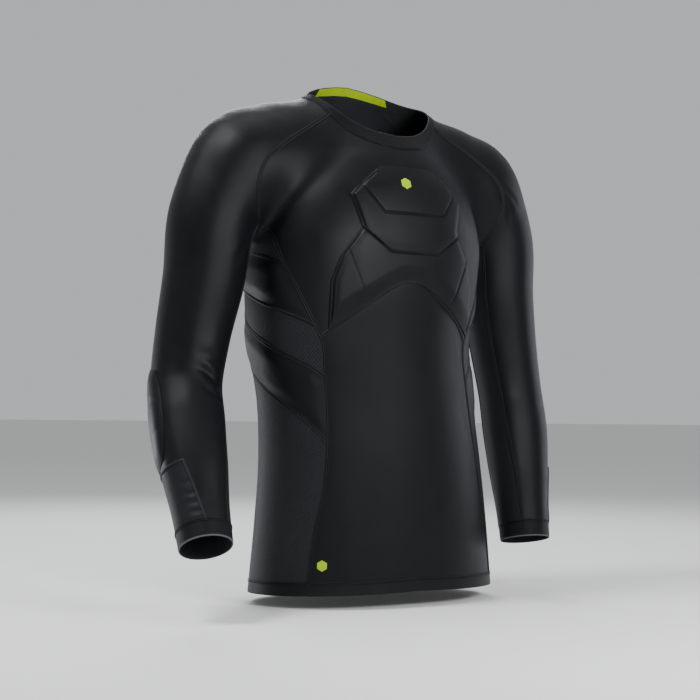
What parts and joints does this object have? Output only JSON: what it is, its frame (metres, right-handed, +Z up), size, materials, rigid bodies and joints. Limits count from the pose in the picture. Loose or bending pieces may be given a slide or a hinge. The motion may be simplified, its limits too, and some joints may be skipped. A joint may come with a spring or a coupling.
{
  "type": "padded compression shirt",
  "caption": "Long-sleeved padded compression shirt in its worn form: raglan sleeves, moulded chest plates, padded ribs and elbows, mesh flanks, lime neck tape.",
  "frame": {"origin": "middle of the neck at the height of the shoulder seams, where the wearer's shoulders carry the shirt", "axes": "+Z up along the trunk, -Y the front of the shirt, +X the wearer's left"},
  "size_m": [0.6682, 0.2705, 0.7284],
  "materials": {
    "knit_cloth": "smooth charcoal stretch knit with a soft sheen",
    "mesh_cloth": "charcoal open mesh knit",
    "pad_cloth": "charcoal stretch cloth over moulded foam",
    "band_cloth": "charcoal doubled rib band",
    "lime_tape": "lime woven binding tape"
  },
  "bodies": {
    "root": {"front_chest": "knit_cloth", "front_body": "knit_cloth", "back_body": "knit_cloth", "sleeve_right": "knit_cloth", "sleeve_left": "knit_cloth", "underarm_mesh_right": "mesh_cloth", "underarm_mesh_left": "mesh_cloth", "side_mesh_band_right": "mesh_cloth", "side_mesh_band_left": "mesh_cloth", "side_mesh_lower_right": "mesh_cloth", "side_mesh_lower_left": "mesh_cloth", "under_sleeve_right": "mesh_cloth", "under_sleeve_left": "mesh_cloth", "forearm_panel_right": "mesh_cloth", "forearm_panel_left": "mesh_cloth", "rib_pad_upper_right": "pad_cloth", "rib_pad_upper_left": "pad_cloth", "rib_pad_lower_right": "pad_cloth", "rib_pad_lower_left": "pad_cloth", "elbow_pad_right": "pad_cloth", "elbow_pad_left": "pad_cloth", "chest_plate_top": "pad_cloth", "chest_plate_middle": "pad_cloth", "chest_plate_lower": "pad_cloth", "collar": "band_cloth", "cuff_right": "band_cloth", "cuff_left": "band_cloth", "hem_band": "band_cloth", "neck_tape": "lime_tape"}
  },
  "joints": []
}
